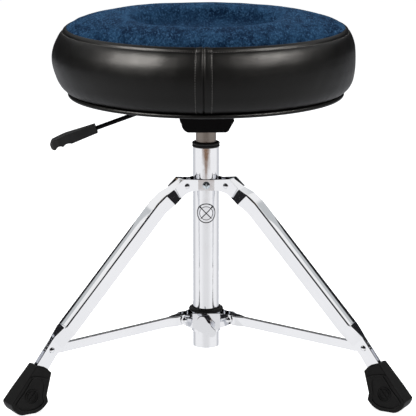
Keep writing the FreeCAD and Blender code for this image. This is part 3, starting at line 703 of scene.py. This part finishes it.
SEAM_X = -0.0071                 # the upright seam stands a little left of the middle
SEAM_ANGLE = math.atan2(-1, SEAM_X / 0.206)
TOPSTITCH = 0.0109
SAG = 0.0030                     # the stuffing has shifted this far towards -X
HEM_STITCH = 0.0070
STITCH_PITCH = 0.0033
PUCKER_PITCH = 5.3               # mm, round the hem
SIDE_PROFILE = [(184.0, 411.6), (190.2, 414.6), (195.6, 419.5), (200.2, 427.0), (203.2, 436.5), (205.3, 447.0),
                (206.0, 458.0), (205.3, 467.0), (203.4, 476.0), (199.2, 486.5), (194.6, 493.2), (190.2, 498.0)]
TOP_PROFILE = [(190.0, 497.0), (185.5, 500.4), (178.5, 504.2), (165.0, 508.6), (150.0, 511.6), (133.0, 513.4),
               (119.0, 513.8), (107.0, 512.5), (97.0, 508.6), (88.0, 502.6), (77.0, 497.2), (62.0, 493.8),
               (40.0, 491.6), (12.0, 490.2)]


SEAT_R = 0.206                   # across the bulge of the seat, from its axis
FINE_TO = 0.0135                 # how far from the seam the side's mesh stays fine


def seam_offset(angle):
    """How far round the side, in metres, an angle is from the upright seam."""
    gap = (angle - SEAM_ANGLE + math.pi) % (2 * math.pi) - math.pi
    return gap * SEAT_R


def sag(angle, z):
    """How far the stuffing has pushed the side out here; the side away from it falls in as much."""
    return -SAG * math.cos(angle) * bell(z - 0.458, 0.026)


def side_angles():
    """Angles round the seat, close together near the upright seam."""
    fine = 0.00045 / SEAT_R
    coarse = 0.0029 / SEAT_R
    angles = []
    offset = 0.0
    while offset < math.pi:
        angles.append(offset)
        offset += fine if offset < FINE_TO / SEAT_R else coarse
    other = [-a for a in angles[1:]]
    return [SEAM_ANGLE + a for a in sorted(angles + other)]


def revolve(name, profile, angles, shape):
    """A surface round the Z axis; shape(angle, index, r, z) gives each point's own (r, z) in metres."""
    verts = []
    for angle in angles:
        c, s = math.cos(angle), math.sin(angle)
        for index, point in enumerate(profile):
            r, z = shape(angle, index, point.x, point.y)
            verts.append((r * c, r * s, z))
    rows = len(profile)
    faces = []
    count = len(angles)
    for i in range(count):
        j = (i + 1) % count
        for k in range(rows - 1):
            faces.append((i * rows + k, j * rows + k, j * rows + k + 1, i * rows + k + 1))
    return new_piece(name, verts, faces)


def arc_lengths(line):
    total = 0.0
    out = [0.0]
    for a, b in zip(line, line[1:]):
        total += (b - a).length
        out.append(total)
    return out


def make_side_cover():
    line = evenly([p * MM for p in catmull(SIDE_PROFILE, 8)], 0.0016)
    edge = line[-1]
    lip = [edge + Vector((-0.0006, 0.0004)), edge + Vector((-0.0013, 0.0003)),
           edge + Vector((-0.0018, -0.0003)), edge + Vector((-0.0020, -0.0013))]
    tuck = [line[0] + Vector((-0.0016, -0.0008)), line[0] + Vector((-0.0040, -0.0009))]
    line = [tuck[1], tuck[0]] + line + lip
    lengths = arc_lengths(line)
    top = lengths[-4]
    tangents = [(line[min(i + 1, len(line) - 1)] - line[max(i - 1, 0)]).normalized() for i in range(len(line))]

    def shape(angle, index, r, z):
        below = top - lengths[index]
        across = seam_offset(angle)
        lift = 0.0
        if index > 1:
            seam = -0.0015 * bell(across, 0.0010) + 0.00045 * bell(abs(across) - 0.0045, 0.0035)
            stitched = -0.00035 * bell(abs(across) - TOPSTITCH, 0.0009)
            fade = min(1.0, max(0.0, (top - below) / 0.006))
            lift += (seam + stitched) * fade
            lift += -0.00085 * bell(below - HEM_STITCH, 0.0011)
            lift += 0.00050 * bell(below - HEM_STITCH * 0.5, 0.0026)
            lift += 0.0009 * bell(across, 0.0050) * bell(below - HEM_STITCH * 0.5, 0.0045)
            pucker = math.sin(angle * 206 / PUCKER_PITCH) * bell(below - HEM_STITCH - 0.003, 0.005)
            lift += 0.00010 * pucker
            soft = noise.noise(Vector((math.cos(angle) * 3.1, math.sin(angle) * 3.1, z * 16)))
            ripple = noise.noise(Vector((math.cos(angle) * 11, math.sin(angle) * 11, z * 42)))
            away = min(1.0, below / 0.02)
            lift += (0.0007 * soft + 0.00022 * ripple) * away
            drag = noise.noise(Vector((math.cos(angle) * 30, math.sin(angle) * 30, 4.0)))
            lift += 0.0004 * drag * bell(lengths[index] - 0.012, 0.012)
        normal = Vector((tangents[index].y, -tangents[index].x))
        return r + normal.x * lift + sag(angle, z), z + normal.y * lift

    cover = revolve("seat_side_leather", line, side_angles(), shape)
    finish_piece(cover, "seat", "black_leather")
    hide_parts("seat_side_cover")
    return line, lengths, top, tangents


def pile_wave(x, y):
    """Slow unevenness of the padding under the velour."""
    slow = noise.noise(Vector((x * 13, y * 13, 1.7)))
    quick = noise.noise(Vector((x * 42, y * 42, 5.1)))
    return 0.0012 * slow + 0.00035 * quick


def make_top_cover():
    line = evenly([p * MM for p in catmull(TOP_PROFILE, 8)], 0.0026)
    start = line[0]
    under = [start + Vector((0.0012, -0.0035)), start + Vector((0.0007, -0.0012))]
    line = under + line
    count = 420
    angles = [2 * math.pi * i / count for i in range(count)]
    lengths = arc_lengths(line)

    def shape(angle, index, r, z):
        if index < 2:
            return r, z
        inward = lengths[index] - lengths[2]
        settle = min(1.0, inward / 0.012) * min(1.0, r / 0.03)
        wave = pile_wave(r * math.cos(angle), r * math.sin(angle))
        pull = noise.noise(Vector((math.cos(angle) * 17, math.sin(angle) * 17, 8.0)))
        gather = 0.0006 * pull * bell(inward - 0.010, 0.010)
        return r, z + (wave + gather) * settle

    cover = revolve("seat_top_velour", line, angles, shape)
    mesh = cover.data
    form = bmesh.new()
    form.from_mesh(mesh)
    form.verts.ensure_lookup_table()
    rows = len(line)
    ring = [form.verts[i * rows + rows - 1] for i in range(count)]
    middle = form.verts.new((0, 0, sum(v.co.z for v in ring) / count - 0.0003))
    for a, b in zip(ring, ring[1:] + ring[:1]):
        form.faces.new((a, b, middle))
    form.to_mesh(mesh)
    form.free()
    finish_piece(cover, "seat", "blue_velour")
    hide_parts("seat_top_cover", "seat_foam")


def stitch(verts, faces, centre, along, up, length=0.0024, radius=0.00036):
    """One stitch: a short thread that is sunk at both ends."""
    side = along.cross(up).normalized()
    rings = 6
    sides = 6
    base = len(verts)
    for i in range(rings + 1):
        t = i / rings * 2 - 1
        swell = math.sqrt(max(0.0, 1 - t * t * 0.86)) * radius
        middle = centre + along * (t * length / 2) + up * (radius * 0.9 * (1 - t * t) - radius * 0.35)
        for k in range(sides):
            a = 2 * math.pi * k / sides
            verts.append(middle + (side * math.cos(a) + up * math.sin(a)) * swell)
    for i in range(rings):
        for k in range(sides):
            n = (k + 1) % sides
            faces.append((base + i * sides + k, base + i * sides + n, base + (i + 1) * sides + n,
                          base + (i + 1) * sides + k))
    faces.append(tuple(base + k for k in range(sides))[::-1])
    faces.append(tuple(base + rings * sides + k for k in range(sides)))


def make_stitching(line, lengths, top, tangents):
    verts, faces = [], []

    def on_side(angle, length, sink):
        index = max(i for i in range(len(lengths)) if lengths[i] <= length)
        index = min(index, len(line) - 2)
        t = (length - lengths[index]) / max(1e-9, lengths[index + 1] - lengths[index])
        point = line[index].lerp(line[index + 1], t)
        tangent = tangents[index].lerp(tangents[index + 1], t).normalized()
        out = Vector((math.cos(angle), math.sin(angle), 0))
        up = Vector((0, 0, 1))
        normal = out * tangent.y - up * tangent.x
        climb = out * tangent.x + up * tangent.y
        place = out * (point.x + sag(angle, point.y)) + up * point.y
        return place - normal * sink, normal.normalized(), climb.normalized()

    hem = top - HEM_STITCH
    radius = on_side(0, hem, 0)[0].x
    count = int(2 * math.pi * radius / STITCH_PITCH)
    for i in range(count):
        angle = 2 * math.pi * (i + 0.5) / count
        place, normal, climb = on_side(angle, hem, 0.00065)
        around = climb.cross(normal).normalized()
        stitch(verts, faces, place, around, normal)
    for side in (-1, 1):
        length = lengths[2] + 0.002
        while length < hem - 0.001:
            angle = SEAM_ANGLE + side * TOPSTITCH / SEAT_R
            place, normal, climb = on_side(angle, length, 0.00025)
            stitch(verts, faces, place, climb, normal)
            length += STITCH_PITCH
    piece = new_piece("seat_stitching", verts, faces)
    finish_piece(piece, "seat", "black_leather", "thread")


def make_piping():
    """The welt round the seat's lower edge: a covered cord with a narrow flange that runs up behind it."""
    low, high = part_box("seat_piping")
    tube = (high.z - low.z) / 2
    centre = Vector((high.x - tube, (low.z + high.z) / 2))
    profile = [centre + Vector((math.cos(a), math.sin(a))) * tube
               for a in [math.radians(d) for d in range(-200, 130, 15)]]
    flange = [profile[-1] + Vector((-0.0006, 0.0011)), profile[-1] + Vector((-0.0026, 0.0016))]

    def shape(angle, index, r, z):
        gather = noise.noise(Vector((math.cos(angle) * 60, math.sin(angle) * 60, 2.0)))
        across = seam_offset(angle)
        join = 0.0003 * bell(across, 0.004)
        return r + 0.00012 * gather - join, z + 0.00008 * gather

    angles = [2 * math.pi * i / 480 for i in range(480)]
    piping = revolve("seat_welt", profile + flange, angles, shape)
    finish_piece(piping, "seat", "black_leather")
    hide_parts("seat_piping")


# ---------------------------------------------------------------- ornaments

COLUMN_MARK_Z = 0.2426
COLUMN_MARK_R = 0.01325
FOOT_MARK = (279.0, 24.0)
FOOT_MARK_R = 9.6
# The raised border on each side of a boot, and the line below its collar, as distance from the column and height.
FOOT_BORDER = [(263, 46), (259.5, 36), (262, 22), (261, 14), (267, 8.5), (276, 5.5), (291, 5.5), (298, 9.5),
               (302, 17), (289, 32), (277, 47), (270, 49)]
FOOT_COLLAR = [(251.5, 43.0), (266, 48.5), (279.5, 50.0)]


def make_column_mark():
    """Printed ornament on the front of the column, as a film that follows the tube."""
    low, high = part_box("column_tube")
    radius = (high.x - low.x) / 2
    verts, faces = [], []
    for line, width, closed in sticks_in_ring(COLUMN_MARK_R):
        path = []
        for across, up in line:
            turn = across / radius
            out = Vector((math.sin(turn), -math.cos(turn), 0))
            path.append((out * radius + Vector((0, 0, COLUMN_MARK_Z + up)), out))
        bead(verts, faces, path, width * COLUMN_MARK_R, 0.00022, closed)
    piece = new_piece("column_mark", verts, faces)
    finish_piece(piece, "base", "chrome_plate", "mark")


def make_foot_relief(side, boot):
    """Moulded lines on both sides of a rubber boot."""
    azimuth = math.radians(LEG_AZIMUTHS[side])
    radial = Vector((math.cos(azimuth), math.sin(azimuth), 0))
    across = Vector((-math.sin(azimuth), math.cos(azimuth), 0))
    surface = BVHTree.FromPolygons([v.co for v in boot.data.vertices], [f.vertices for f in boot.data.polygons])
    border = [tuple(p) for p in evenly(catmull(FOOT_BORDER + FOOT_BORDER[:1], 6), 1.5)[:-1]]
    collar = [tuple(p) for p in evenly(catmull(FOOT_COLLAR, 6), 1.5)]
    lines = [(border, 0.0022, True), (collar, 0.0028, False)]
    for line, width, closed in sticks_in_ring(FOOT_MARK_R):
        moved = [(FOOT_MARK[0] + a, FOOT_MARK[1] + b) for a, b in line]
        lines.append((moved, width * FOOT_MARK_R * MM, closed))
    verts, faces = [], []
    for way in (-1, 1):
        for line, width, closed in lines:
            path = []
            for distance, height in line:
                start = radial * (distance * MM) + Vector((0, 0, height * MM)) + across * (way * 0.05)
                place, normal, _, _ = surface.ray_cast(start, across * -way)
                if place:
                    path.append((place, normal if normal.dot(across) * way > 0 else -normal))
            if len(path) > 2:
                bead(verts, faces, path, width, 0.0011, closed and len(path) == len(line))
    piece = new_piece("foot_relief_" + side, verts, faces)
    finish_piece(piece, BODY_OF["foot_" + side], "black_rubber")


# ---------------------------------------------------------------- scene

add_camera()
add_world()
add_floor()
add_area_light("key_left", (-1.9, 0.1, 1.25), SEAT_MIDDLE, (0.6, 0.6), 21)
add_area_light("key_right", (1.9, 0.1, 1.25), SEAT_MIDDLE, (0.6, 0.6), 21)
add_area_light("top", (0, 0.9, 2.2), (0, 0, 0.4), (1.0, 0.8), 23)

paint_cad_nodes()
side_line = make_side_cover()
make_top_cover()
make_stitching(*side_line)
make_piping()
make_column_mark()
for side, azimuth in LEG_AZIMUTHS.items():
    dress("leg_" + side, 0.0014, shape=crowned(math.radians(azimuth)))
    dress("strut_" + side, 0.0009)
    make_foot_relief(side, dress("foot_" + side, 0.0025))
for node in ("upper_hub_plate_front", "upper_hub_plate_left", "upper_hub_plate_right",
             "lower_hub_plate_front", "lower_hub_plate_left", "lower_hub_plate_right"):
    dress(node, 0.0011)
dress("mechanism_case", 0.0016)
dress("wing_bolt", 0.0009)
dress("lever_grip", 0.0022)

glossy_pieces = ("seat_side_leather", "seat_welt", "seat_stitching", "lever_grip_finish")
add_softbox("sheen_left", (-1.20, -0.80, 1.34), SEAT_MIDDLE, (0.62, 0.30), 66, glossy_pieces)
add_softbox("sheen_right", (1.16, -0.86, 1.36), SEAT_MIDDLE, (0.80, 0.30), 52, glossy_pieces)

scene = bpy.context.scene
scene.view_settings.view_transform = "Standard"
scene.view_settings.look = "None"
